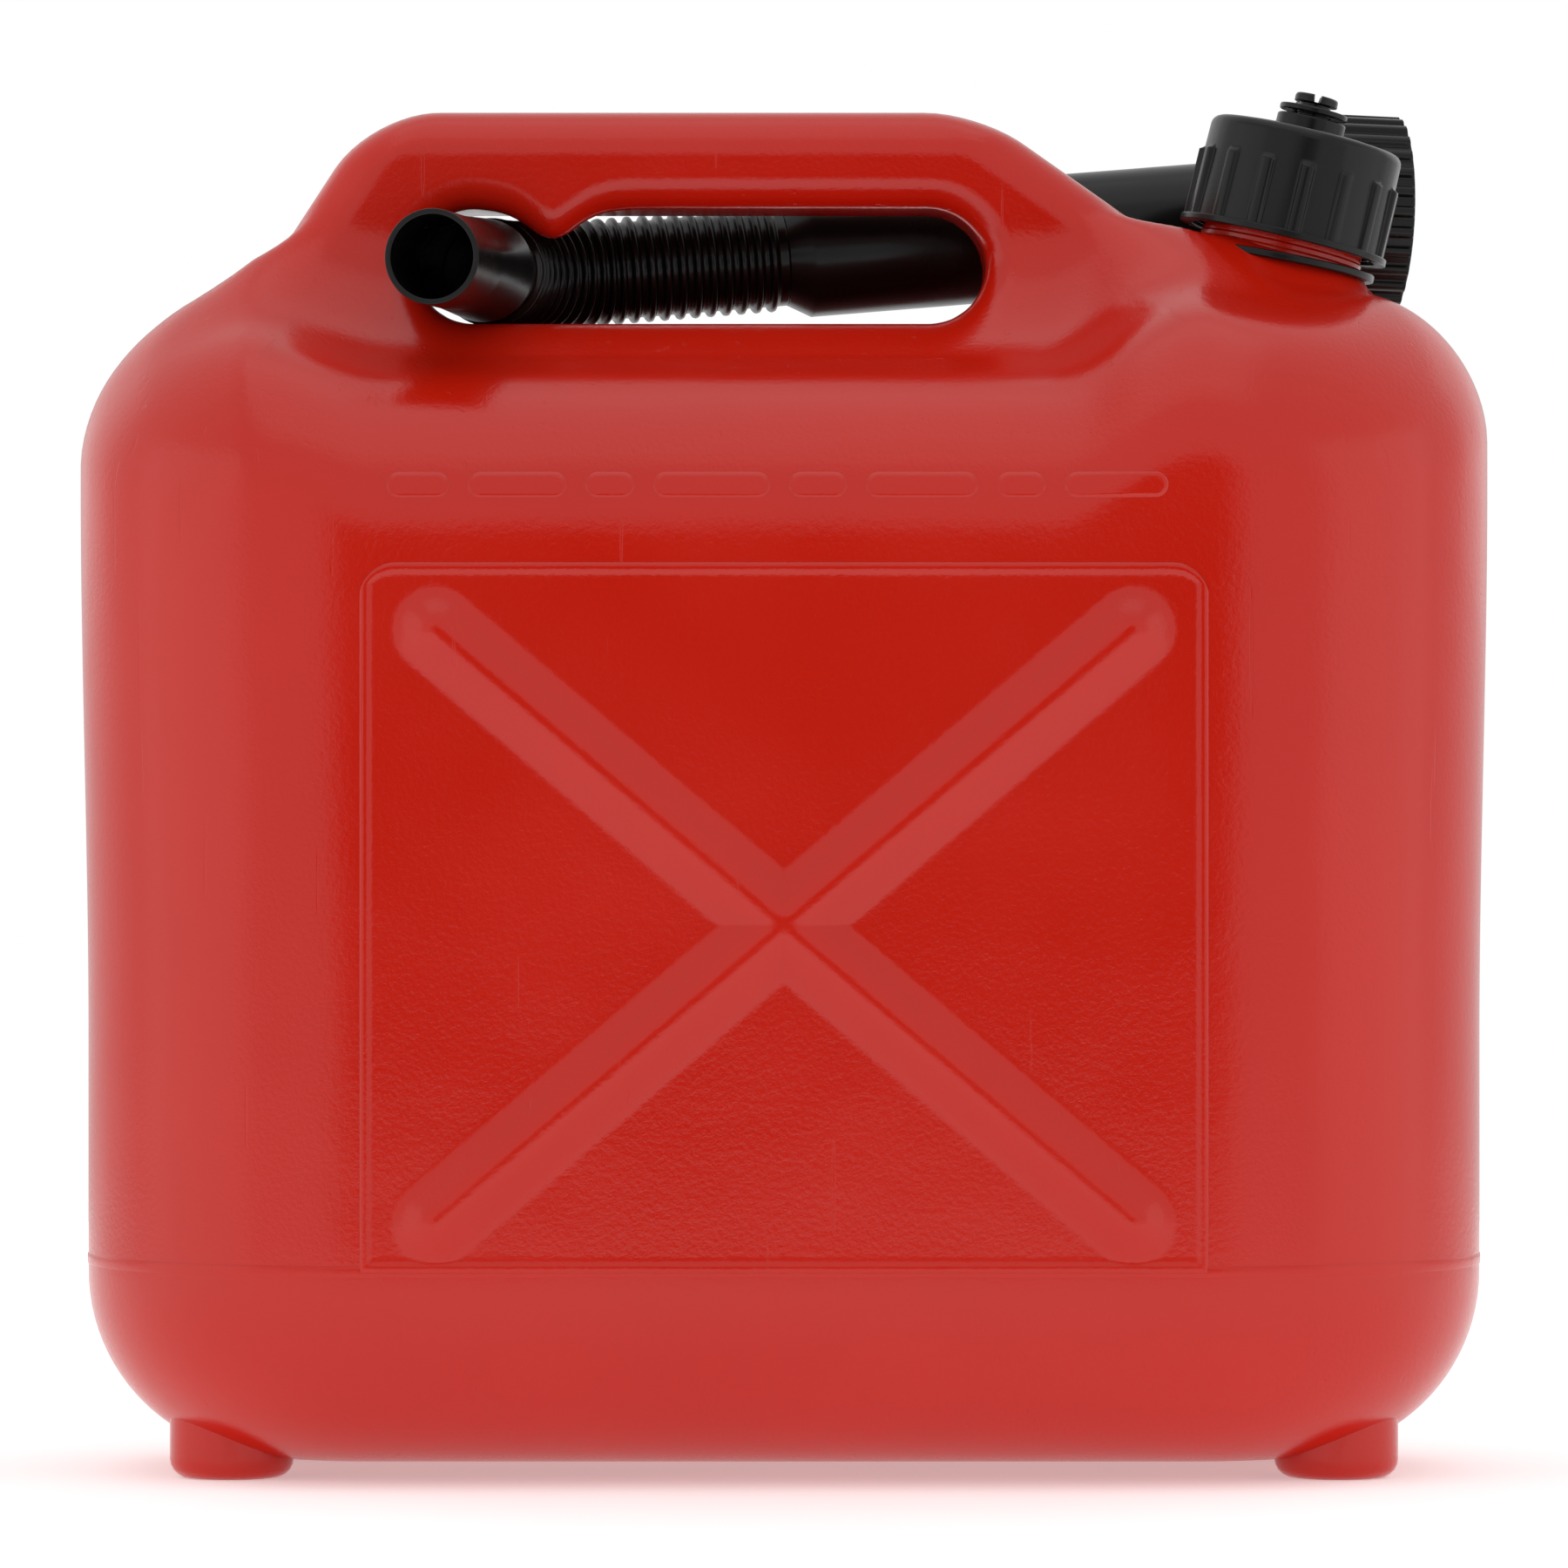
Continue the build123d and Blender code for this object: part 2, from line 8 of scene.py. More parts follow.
# %% Load the frame
import json
import bmesh
import bpy
import numpy as np
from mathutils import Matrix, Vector

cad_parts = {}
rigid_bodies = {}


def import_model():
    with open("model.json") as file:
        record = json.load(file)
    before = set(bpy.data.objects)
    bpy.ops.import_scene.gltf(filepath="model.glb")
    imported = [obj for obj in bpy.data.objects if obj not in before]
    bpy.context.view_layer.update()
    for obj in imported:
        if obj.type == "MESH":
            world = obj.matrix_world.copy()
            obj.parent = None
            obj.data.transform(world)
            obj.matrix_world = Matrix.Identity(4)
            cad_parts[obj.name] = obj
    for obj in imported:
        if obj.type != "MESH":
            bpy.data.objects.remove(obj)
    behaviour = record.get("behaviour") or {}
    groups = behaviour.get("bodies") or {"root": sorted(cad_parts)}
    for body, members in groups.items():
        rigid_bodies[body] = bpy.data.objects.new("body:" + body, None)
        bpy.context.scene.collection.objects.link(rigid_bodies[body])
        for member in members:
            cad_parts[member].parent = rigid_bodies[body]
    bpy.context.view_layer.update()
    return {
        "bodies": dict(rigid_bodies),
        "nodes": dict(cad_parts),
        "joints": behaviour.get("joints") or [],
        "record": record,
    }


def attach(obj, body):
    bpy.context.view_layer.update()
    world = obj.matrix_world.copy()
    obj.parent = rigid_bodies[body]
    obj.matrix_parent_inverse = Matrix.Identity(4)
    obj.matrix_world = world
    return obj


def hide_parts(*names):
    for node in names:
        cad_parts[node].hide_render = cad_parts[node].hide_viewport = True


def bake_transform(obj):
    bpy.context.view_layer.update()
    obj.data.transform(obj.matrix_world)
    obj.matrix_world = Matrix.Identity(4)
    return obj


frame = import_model()

# %% [markdown]
# ## Rounded joins
# Each shape of the tank is a field: a number that is negative inside, zero on the surface and
# positive outside, like a distance in millimetres. Two fields join with a rounding of a chosen
# radius, convex where one cuts the other and concave where they are added. It is how a mould
# maker thinks: main forms first, then the radius between each pair.

# %% Fields and their joins


def cut_together(a, b, radius):
    """What is inside both: the larger field, with a quarter circle where they meet."""
    corner = np.hypot(np.maximum(a + radius, 0), np.maximum(b + radius, 0))
    return np.minimum(np.maximum(a, b), -radius) + corner


def add_together(a, b, radius):
    """What is inside either: the smaller field, with a hollow quarter circle where they meet."""
    corner = np.hypot(np.maximum(radius - a, 0), np.maximum(radius - b, 0))
    return np.maximum(np.minimum(a, b), radius) - corner


def ramp(t, low, high):
    """0 below low, 1 above high, and a smooth S between them: 3k squared minus 2k cubed."""
    k = np.clip((t - low) / (high - low), 0, 1)
    return k * k * (3 - 2 * k)


# %% [markdown]
# ## The tank's form
# Plan view: a rectangle with corners of 65 mm. Side view: a flat bottom with a 42 mm rounding,
# and a roof that falls 24 mm towards the front and rear panels. The handle is a flat bar 40 mm
# deep that grows out of the roof, with a hand hole through it.

# %% The tank as a field
half_depth = 76.0
plan_radius, base_radius = 65, 42
roof_height = 262
handle_height, handle_half_depth, handle_edge = 310.2, 20, 11
hole_lip_radius = 7.5
hole_left, hole_right = -83.6, 45.9
hole_low, hole_high = 261.3, 288.0
hole_radius = (hole_high - hole_low) / 2
hole_middle = (hole_high + hole_low) / 2
run_left, run_right = hole_left + hole_radius, hole_right - hole_radius
nose_x = -52.8
neck_x, neck_z, neck_tilt = 114.4, 280.9, np.radians(13.5)
neck_radius = 18.5
deck_x, deck_z = 112.65, 273.6


def tank(x, y, z):
    """Rounded block: the plan's distance, cut by the floor and by the sloping roof."""
    half_width = 158.6 + 1.8 * ramp(z, 100, 225)
    across = np.abs(x) - (half_width - plan_radius)
    deep = np.abs(y) - (half_depth - plan_radius)
    beyond = np.hypot(np.maximum(across, 0), np.maximum(deep, 0))
    plan = beyond + np.minimum(np.maximum(across, deep), 0) - plan_radius
    left = 256.4 + (np.minimum(x, -121) + 160.8) * np.tan(np.radians(17.7))
    right = deck_z - (np.maximum(x, 75) - deck_x) * np.tan(neck_tilt)
    to_left, to_right = 1 - ramp(x, -121, -88), ramp(x, 58, 98)
    ridge = roof_height + (left - roof_height) * to_left + (right - roof_height) * to_right
    fall = 0.4255 * (np.hypot(np.maximum(np.abs(y) - 12, 0), 8) - 8)
    shoulder = 26 - ramp(np.abs(y), 10, 50)
    block = cut_together(plan, 4 - z, base_radius)
    return cut_together(block, 0.94 * (z + fall - ridge), shoulder)


def handle(x, y, z):
    """Flat bar seen from the front as a trapezoid: left side at 57 degrees, right side at 35."""
    left = -0.8387 * (x + 121) + 0.5446 * (z - 269.1)
    right = 0.5750 * (x - 44.5) + 0.8181 * (z - handle_height)
    face = cut_together(cut_together(left, z - handle_height, 13), right, 7)
    bar = cut_together(face, np.abs(y) - handle_half_depth, handle_edge)
    return cut_together(cut_together(bar, 246 - z, 6), x - 106, 6)


def hand_hole(x, y, z):
    """Stadium: distance to a level line, less its radius. The front lip sags into a nose."""
    sag = 7.4 * np.exp(-(np.abs(x - nose_x) / 7.6) ** 1.7) * ramp(-y, 0, 12)
    rise = z - hole_middle
    rise = rise + sag * ramp(rise, 0, 8)
    beyond = np.maximum(np.abs(x - (run_left + run_right) / 2) - (run_right - run_left) / 2, 0)
    return np.hypot(beyond, rise) - hole_radius


def neck_place(x, y, z):
    """(distance from the neck's axis, height along it) of points."""
    up = (x - neck_x) * np.sin(neck_tilt) + (z - neck_z) * np.cos(neck_tilt)
    out = (x - neck_x) * np.cos(neck_tilt) - (z - neck_z) * np.sin(neck_tilt)
    return np.hypot(out, y), up


def can_form(x, y, z):
    """The whole blow-moulded shape: tank and handle, less the hole, with the neck's foot."""
    beside = np.abs(y)
    form = add_together(tank(x, y, z), handle(x, y, z), 6 + 16 * ramp(beside, 4, 18))
    form = cut_together(form, -hand_hole(x, y, z), hole_lip_radius)
    out, up = neck_place(x, y, z)
    stub = cut_together(cut_together(out - neck_radius, up + 3.6, 0.4), -28 - up, 0.4)
    return add_together(form, stub, 8)


# %% [markdown]
# ## From field to surface
# A ray leaves a point inside the plastic and stops where the field turns positive. The stopping
# place is found by coarse steps and then by halving, for all rays at once.

# %% Rays


def reach(origin, direction, longest):
    """How far each ray runs before it leaves the form. origin and direction are (..., 3) arrays."""
    steps = np.linspace(0.0, longest, 49)
    low = np.zeros(origin.shape[:-1])
    high = np.full(origin.shape[:-1], longest)
    going = np.ones(origin.shape[:-1], bool)
    for near, far in zip(steps[:-1], steps[1:]):
        outside = can_form(*np.moveaxis(origin + far * direction, -1, 0)) > 0
        stop = going & outside
        low, high = np.where(stop, near, low), np.where(stop, far, high)
        going &= ~outside
    for _ in range(16):
        middle = (low + high) / 2
        outside = can_form(*np.moveaxis(origin + middle[..., None] * direction, -1, 0)) > 0
        low, high = np.where(outside, low, middle), np.where(outside, middle, high)
    return (low + high) / 2


def depth_at(x, z):
    """The half depth of the can at places seen from the front."""
    origin = np.stack([x, np.zeros_like(x), z], -1)
    return reach(origin, np.broadcast_to([0.0, -1.0, 0.0], origin.shape), 90.0)


# %% [markdown]
# ## Meshes from grids
# Every new piece is a grid of points: rows along one parameter, columns along the other. A row
# or column that closes on itself joins its last point to its first. Points that fall together,
# as at a pole, are merged, and the faces are turned to point outwards.

# %% Grid to mesh


def grid_piece(name, points, body, material, loops=(False, True), outward=None):
    """A piece from a (rows, columns, 3) array in millimetres. loops says which ways close."""
    rows, columns = points.shape[:2]
    i = np.arange(rows if loops[0] else rows - 1)[:, None]
    j = np.arange(columns if loops[1] else columns - 1)[None, :]
    a = i * columns + j
    b = i * columns + (j + 1) % columns
    c = (i + 1) % rows * columns + (j + 1) % columns
    d = (i + 1) % rows * columns + j
    faces = np.stack(np.broadcast_arrays(a, b, c, d), -1).reshape(-1, 4)
    mesh = bpy.data.meshes.new(name)
    mesh.from_pydata((points.reshape(-1, 3) * 0.001).tolist(), [], faces.tolist())
    shape = bmesh.new()
    shape.from_mesh(mesh)
    bmesh.ops.remove_doubles(shape, verts=shape.verts, dist=2e-6)
    if outward is None:
        bmesh.ops.recalc_face_normals(shape, faces=shape.faces)
    elif sum((f.normal * f.calc_area() for f in shape.faces), Vector()).dot(Vector(outward)) < 0:
        bmesh.ops.reverse_faces(shape, faces=shape.faces)
    shape.to_mesh(mesh)
    shape.free()
    mesh.polygons.foreach_set("use_smooth", np.ones(len(mesh.polygons), bool))
    mesh.materials.append(material)
    piece = bpy.data.objects.new(name, mesh)
    bpy.context.scene.collection.objects.link(piece)
    if body:
        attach(piece, body)
    print(f"{name}: {len(mesh.polygons)} faces on {body}")
    return piece


# %% [markdown]
# ## Finishes
# One function turns the sRGB colours that people pick into the linear ones that light needs,
# and one adds a node with its settings and links.

# %% Material helpers


def linear(hex_colour):
    """sRGB hex to linear red, green, blue and alpha."""
    srgb = np.array([int(hex_colour[k:k + 2], 16) for k in (1, 3, 5)]) / 255
    rgb = np.where(srgb <= 0.04045, srgb / 12.92, ((srgb + 0.055) / 1.055) ** 2.4)
    return (*rgb.tolist(), 1.0)


def add_node(tree, kind, settings=None, **inputs):
    """A node with its settings and its inputs, each a value or another node's output socket."""
    node = tree.nodes.new(kind)
    for key, value in (settings or {}).items():
        setattr(node, key, value)
    for key, value in inputs.items():
        numbered = key[0] == "i" and key[1:].isdigit()
        socket = node.inputs[int(key[1:]) if numbered else key.replace("_", " ")]
        if isinstance(value, bpy.types.NodeSocket):
            tree.links.new(value, socket)
        else:
            socket.default_value = value
    return node


def new_material(name, **shader_inputs):
    """A material with one Principled shader. Returns it, its tree, shader and Object coordinates."""
    material = bpy.data.materials.new(name)
    material.use_nodes = True
    tree = material.node_tree
    shader = tree.nodes["Principled BSDF"]
    for key, value in shader_inputs.items():
        shader.inputs[key.replace("_", " ")].default_value = value
    return material, tree, shader, add_node(tree, "ShaderNodeTexCoord").outputs["Object"]


# %% [markdown]
# ### Red HDPE, blow moulded
# High-density polyethylene has a satin gloss. Its mould is sand blasted so that air can escape.
# The eye sees soft-edged reflections, a fine orange peel about a millimetre wide, slow waves
# where the wall cooled unevenly, and a few hair scratches from handling.

# %% Red polyethylene
red_hdpe, tree, shader, place = new_material(
    "red_hdpe_blow_moulded", IOR=1.54, Specular_IOR_Level=0.4
)
clouds = add_node(tree, "ShaderNodeTexNoise", Vector=place, Scale=14.0, Detail=3.0)
hue = add_node(
    tree, "ShaderNodeMix", {"data_type": "RGBA"},
    i0=clouds.outputs["Fac"], i6=linear("#BA1807"), i7=linear("#C61D09"),
)
tree.links.new(hue.outputs[2], shader.inputs["Base Color"])
peel = add_node(tree, "ShaderNodeTexNoise", Vector=place, Scale=850.0, Detail=2.0)  # 1.2 mm
grain = add_node(tree, "ShaderNodeTexNoise", Vector=place, Scale=2600.0, Detail=1.0)  # 0.4 mm
waves = add_node(tree, "ShaderNodeTexNoise", Vector=place, Scale=38.0, Detail=1.0)  # 26 mm
streak_place = add_node(
    tree, "ShaderNodeMapping", Vector=place, Rotation=(0, 0.6, 0), Scale=(420, 420, 16)
)
streaks = add_node(tree, "ShaderNodeTexNoise", Vector=streak_place.outputs[0], Scale=1.0, Detail=1.0)
scratch = add_node(
    tree, "ShaderNodeMapRange",
    Value=streaks.outputs["Fac"], i1=0.735, i2=0.76, i3=0.0, i4=1.0,
)
satin = add_node(
    tree, "ShaderNodeMapRange",
    Value=clouds.outputs["Fac"], i1=0.3, i2=0.7, i3=0.16, i4=0.22,
)
tree.links.new(satin.outputs[0], shader.inputs["Roughness"])
bump = add_node(tree, "ShaderNodeBump", Height=waves.outputs["Fac"], Strength=1.0, Distance=0.00025)
for height, depth, inverted in (
    (peel.outputs["Fac"], 0.00006, False),
    (grain.outputs["Fac"], 0.00002, False),
    (scratch.outputs[0], 0.00004, True),
):
    bump = add_node(
        tree, "ShaderNodeBump", {"invert": inverted},
        Height=height, Strength=1.0, Distance=depth, Normal=bump.outputs[0],
    )
tree.links.new(bump.outputs[0], shader.inputs["Normal"])
print("red_hdpe_blow_moulded:", len(tree.nodes), "nodes")

# %% [markdown]
# ### Black polypropylene, injection moulded
# The cap, strap and union nut leave a polished steel mould, so they are semi-gloss with a very
# fine grain and faint flow marks.

# %% Black plastics


def black_plastic(name, colour, roughness, grain_mm, grain_depth):
    """Black moulded plastic: a slight cloudiness in colour and gloss, and a grain of a given size."""
    material, tree, shader, place = new_material(
        name, IOR=1.49, Roughness=roughness, Specular_IOR_Level=0.28
    )
    clouds = add_node(tree, "ShaderNodeTexNoise", Vector=place, Scale=60.0, Detail=4.0)
    pale = linear(colour)
    dark = tuple(0.55 * c for c in pale[:3]) + (1.0,)
    tint = add_node(
        tree, "ShaderNodeMix", {"data_type": "RGBA"}, i0=clouds.outputs["Fac"], i6=pale, i7=dark
    )
    gloss = add_node(
        tree, "ShaderNodeMapRange",
        Value=clouds.outputs["Fac"], i1=0.3, i2=0.7, i3=roughness - 0.04, i4=roughness + 0.05,
    )
    grain = add_node(tree, "ShaderNodeTexNoise", Vector=place, Scale=1000.0 / grain_mm, Detail=2.0)
    bump = add_node(
        tree, "ShaderNodeBump", Height=grain.outputs["Fac"], Strength=1.0, Distance=grain_depth * 0.001
    )
    tree.links.new(tint.outputs[2], shader.inputs["Base Color"])
    tree.links.new(gloss.outputs[0], shader.inputs["Roughness"])
    tree.links.new(bump.outputs[0], shader.inputs["Normal"])
    return material


black_pp = black_plastic("black_polypropylene_injection_moulded", "#141514", 0.24, 0.8, 0.012)
black_pe = black_plastic("black_polyethylene_blow_moulded", "#101110", 0.24, 1.4, 0.03)
seal_nbr = black_plastic("seal_rubber_nbr_moulded", "#1A1A1A", 0.6, 0.3, 0.02)
print("black plastics ready")

# %% [markdown]
# ## The tank's skin
# The can with its hand hole is a ring, so its skin is a grid that closes both ways. One parameter
# runs round the outline as seen from the front. The other runs from the parting line over the
# front face to the rim of the hole, through it, and back over the rear face. Near the outline and
# near the hole the rays fan out, so that the rows stay even round the roundings.

# %% Outline of the skin
stations = np.array([
    # x, z of a ray's start and its angle, from the handle round by the neck, floor and shoulder
    (run_left, hole_middle, 90), (run_right, hole_middle, 90), (run_right, hole_middle, 62),
    (run_right + 4, hole_middle - 3, 38), (60, 255, 42), (78, 240, 62),
    (106, 222, 77), (122, 220, 62), (118, 214, 22), (116, 190, 0), (116, 58, 0), (112, 48, -45),
    (98, 46, -90), (-98, 46, -90), (-112, 48, -135), (-116, 58, -180), (-116, 190, -180),
    (-116, 214, -203), (-112, 226, -228), (-104, 236, -232), (-94, 252, -214), (-82, 268, -200),
    (run_left, hole_middle, -212), (run_left, hole_middle, -240), (run_left, hole_middle, -270),
])
columns = 424


def skin_rays(along):
    """Directions of the rays at places along the stations, and the points where they leave the form."""
    ray_x, ray_z, ray_angle = (
        np.interp(along, np.arange(len(stations)), stations[:, k]) for k in range(3)
    )
    ray_angle = np.radians(ray_angle)
    origin = np.stack([ray_x, 0 * ray_x, ray_z], -1)
    direction = np.stack([np.cos(ray_angle), 0 * ray_x, np.sin(ray_angle)], -1)
    beyond = np.maximum(np.abs(ray_x - (run_left + run_right) / 2) - (run_right - run_left) / 2, 0)
    in_hole = np.hypot(beyond, ray_z - hole_middle) < hole_radius
    start = origin + np.where(in_hole, hole_radius + 2.5, 0.0)[:, None] * direction
    return direction, start + reach(start, direction, 120.0)[:, None] * direction


along = np.linspace(0, len(stations) - 1, 4000)
_, rim = skin_rays(along)
steps = np.hypot(*np.diff(rim[:, [0, 2]], axis=0).T)
at_nose = (np.abs(rim[1:, 0] - nose_x) < 22) * (rim[1:, 2] > 300)
at_neck = (rim[1:, 0] > 80) * (rim[1:, 2] > 255)
detail = 1 + 0.9 * at_nose + 0.5 * at_neck
travelled = np.concatenate([[0], np.cumsum(steps * detail)])
wanted = np.linspace(0, travelled[-1], columns + 1)[:-1]
along = np.interp(wanted, travelled, along)
print("outline:", round(steps.sum(), 1), "mm in", columns, "columns")

# %% Columns from the outline to the hole


def eased(values, span=12):
    """Each row averaged with its neighbours round the ring, by a raised cosine."""
    weights = np.hanning(2 * span + 3)[1:-1]
    wrapped = np.concatenate([values[-span:], values, values[:span]])
    weights = weights / weights.sum()
    return np.stack([np.convolve(column, weights, "valid") for column in wrapped.T], -1)


outwards, rim = skin_rays(along)
rim = eased(rim)
centre_x = np.clip(rim[:, 0], run_left, run_right)
hole_angle = np.arctan2(rim[:, 2] - hole_middle, rim[:, 0] - centre_x)
inwards = -np.stack([np.cos(hole_angle), 0 * hole_angle, np.sin(hole_angle)], -1)
lip = np.stack([centre_x, 0 * centre_x, np.full(columns, hole_middle)], -1) - hole_radius * inwards
gap = np.linalg.norm(rim - lip, axis=1)
outer_lead, inner_lead = np.minimum(0.42 * gap, 30), np.minimum(0.42 * gap, 12)

outer_start = eased(rim - outer_lead[:, None] * outwards)
outwards = eased(outwards)
outwards = outwards / np.linalg.norm(outwards, axis=1)[:, None]
rim = outer_start + reach(outer_start, outwards, 120.0)[:, None] * outwards
inner_start = lip - inner_lead[:, None] * inwards
forwards = np.broadcast_to([0.0, -1.0, 0.0], rim.shape)
outer_depth = reach(outer_start, forwards, 90.0)
inner_depth = reach(inner_start, forwards, 90.0)

# %% Rows over the front, then the same over the rear


def fan(begin, ahead, ahead_size, sideways, side_size, turns):
    """Origins and directions of rays that turn from ahead to sideways as on a quarter ellipse."""
    swing = turns[:, None, None]
    aim = np.cos(swing) * ahead_size[None, :, None] * ahead
    aim = aim + np.sin(swing) * side_size[None, :, None] * sideways
    return np.broadcast_to(begin, aim.shape), aim / np.linalg.norm(aim, axis=-1, keepdims=True)


def half_skin(sign):
    """Rows of points from the outline to the hole on the front (-1) or rear (+1) face."""
    sideways = np.broadcast_to([0.0, float(sign), 0.0], rim.shape)
    opening, closing = np.linspace(0, np.pi / 2, 45), np.linspace(np.pi / 2, 0, 31)
    first = fan(outer_start, outwards, outer_lead, sideways, outer_depth, opening)
    share = 1 - (1 - np.linspace(0, 1, 42)[1:-1]) ** 1.4
    between = outer_start + share[:, None, None] * (inner_start - outer_start)
    middle = between, np.broadcast_to(sideways, between.shape)
    last = fan(inner_start, inwards, inner_lead, sideways, inner_depth, closing)
    origin = np.concatenate([first[0], middle[0], last[0]])
    direction = np.concatenate([first[1], middle[1], last[1]])
    return origin + reach(origin, direction, 110.0)[..., None] * direction


front, rear = half_skin(-1), half_skin(1)
skin_points = np.concatenate([front, rear[::-1][1:-1]])
skin = grid_piece("tank_skin", skin_points, "can", red_hdpe, loops=(True, True))
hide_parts("can_body")

# %% [markdown]
# ## Profiles and lathes
# A turned piece starts as a path of (radius, height) corners. Each corner becomes an arc, long
# runs are divided evenly, and the path is swept round an axis.

# %% Profiles


def rounded(corners, radii, spacing=2.0):
    """A path with an arc at each inner corner, from the conic with middle weight sin(half angle)."""
    corners = np.array(corners, float)
    path = [corners[:1]]
    t = np.linspace(0, 1, 6)[:, None]
    for before, at, after, radius in zip(corners, corners[1:], corners[2:], radii):
        back = (before - at) / np.linalg.norm(before - at)
        on = (after - at) / np.linalg.norm(after - at)
        half = 0.5 * np.arccos(np.clip(back @ on, -1, 1))
        cut, weight = radius / np.tan(half), np.sin(half)
        parts = (1 - t) ** 2 * (at + cut * back) + 2 * weight * t * (1 - t) * at + t ** 2 * (at + cut * on)
        arc = parts / ((1 - t) ** 2 + 2 * weight * t * (1 - t) + t ** 2)
        path += [at + 1.25 * cut * back[None], arc, at + 1.25 * cut * on[None]]
    path = np.concatenate(path + [corners[-1:]])
    travelled = np.concatenate([[0], np.cumsum(np.linalg.norm(np.diff(path, axis=0), axis=1))])
    wanted = np.union1d(travelled, np.arange(0, travelled[-1], spacing))
    return np.stack([np.interp(wanted, travelled, path[:, k]) for k in (0, 1)], -1)


def ring_path(corners, radius, spacing=2.0):
    """A closed profile: the rounded path through all corners and back to its start."""
    corners = np.array(corners, float)
    start = (corners[0] + corners[-1]) / 2
    return rounded([start, *corners, start], [radius] * len(corners), spacing)[:-1]


def lathe(path, turns):
    """Local points (r cos t, r sin t, h) for a profile (rows) at angles t (columns)."""
    r, h = path[:, :1], path[:, 1:]
    return np.stack([r * np.cos(turns), r * np.sin(turns), h + 0 * turns], -1)


def ribbed_turns(count, width, radius):
    """Angles round a ribbed part, closest at the ribs' edges, and how much of a rib each one is."""
    edge = np.array([-0.35, -0.1, 0.12, 0.4])
    period = 2 * np.pi * radius / count
    between = np.linspace(width / 2 + 0.7, period - width / 2 - 0.7, 4)
    across = np.concatenate([-width / 2 + edge, [0], width / 2 - edge[::-1], between])
    turns = (np.arange(count)[:, None] * period + across).ravel() / radius
    return turns, np.tile(1 - ramp(np.abs(across), width / 2 - 0.3, width / 2 + 0.3), count)


def thread(h, turns, start, length=7.5, pitch=5.0):
    """0 to 1 across a thread: a trapezoid 2.4 wide at the root and 1.2 at the crest, on a helix."""
    lift = h - start - pitch * (turns % (2 * np.pi)) / (2 * np.pi)
    lap = np.clip(np.round(lift / pitch), 0, 1)
    away = np.abs(lift - pitch * lap)
    run = pitch * lap + pitch * (turns % (2 * np.pi)) / (2 * np.pi)
    return np.clip((1.2 - away) / 0.6, 0, 1) * (1 - ramp(run, length - 1, length)) * ramp(run, 0, 0.6)


def placed(local, origin, z_axis, x_axis=None):
    """Local points in a frame at an origin, its Z along an axis and its X as level as can be."""
    z_axis = np.array(z_axis, float) / np.linalg.norm(z_axis)
    x_axis = np.cross([0, 0, 1.0], z_axis) if x_axis is None else np.array(x_axis, float)
    x_axis = x_axis / np.linalg.norm(x_axis)
    return np.array(origin, float) + local @ np.stack([x_axis, np.cross(z_axis, x_axis), z_axis])


def turned_piece(name, profile, frame, body, material, replaced=None, closed=True):
    """A lathe of a profile in a frame (origin, Z axis, X axis), riding a body."""
    piece = grid_piece(
        name, placed(lathe(profile, full_turn), *frame), body, material, loops=(closed, True)
    )
    if replaced:
        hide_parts(replaced)


full_turn = np.linspace(0, 2 * np.pi, 121)[:-1]
neck_origin = (neck_x, 0, neck_z)
neck_up = (np.sin(neck_tilt), 0, np.cos(neck_tilt))
neck_across = (np.cos(neck_tilt), 0, -np.sin(neck_tilt))
neck_frame = (neck_origin, neck_up, neck_across)

# %% [markdown]
# ## Feet, neck and trim of the tank
# Four round feet keep the can off the floor. The neck carries a bead and one and a half turns of
# thread. A narrow band round the base, a shallow panel front and rear with two crossing ribs, and
# a row of plain raised dashes complete the moulding.

# %% Feet and neck
foot_path = rounded([(0, 0), (14, 0), (14, 25), (0, 25)], [4.2, 1.0])
for end, y in (("front", -28), ("rear", 28)):
    for side, x in (("left", -125), ("right", 125)):
        turned_piece(
            f"foot_{end}_{side}", foot_path, ((x, y, 0), (0, 0, 1), (1, 0, 0)),
            "can", red_hdpe, closed=False,
        )

neck_wall, bead_wall, bore = 18.5, 18.9, 15.8
neck_rim, neck_low = 17.4, -8
neck_path = ring_path(
    [(neck_wall, neck_low), (neck_wall, -2.5), (bead_wall, -2.1), (bead_wall, -1.2), (neck_wall, -0.8),
     (neck_wall, neck_rim), (bore, neck_rim), (bore, neck_low)],
    0.15, 0.4,
)
neck_local = lathe(neck_path, full_turn)
on_wall = (neck_path[:, :1] > 18.3) & (neck_path[:, 1:] > 0)
swell = 1 + np.where(on_wall, 1.3 * thread(neck_path[:, 1:], full_turn, 3.2), 0) / neck_path[:, :1]
neck_local[..., :2] *= swell[..., None]
neck = grid_piece("neck", placed(neck_local, *neck_frame), "can", red_hdpe, loops=(True, True))

# %% Band round the base
angles = np.linspace(0, 2 * np.pi, 193)[:-1] + 0.01
band_height = 49 + np.array([-1.7, -1.1, -0.5, 0.5, 1.1, 1.7])[:, None, None]
band_stand = np.array([-0.3, 0.14, 0.2, 0.2, 0.14, -0.3])[:, None]
corners = np.stack([93.6 * np.sign(np.cos(angles)), 11 * np.sign(np.sin(angles)), 0 * angles], -1)
band_origin = corners + np.array([0, 0, 1.0]) * band_height
band_way = np.stack([np.cos(angles), np.sin(angles), 0 * angles], -1)
band_way = np.broadcast_to(band_way, band_origin.shape)
band_reach = reach(band_origin, band_way, 90.0) + band_stand
base_band = grid_piece("base_band", band_origin + band_reach[..., None] * band_way, "can", red_hdpe)

# %% Label panels with their crossing ribs


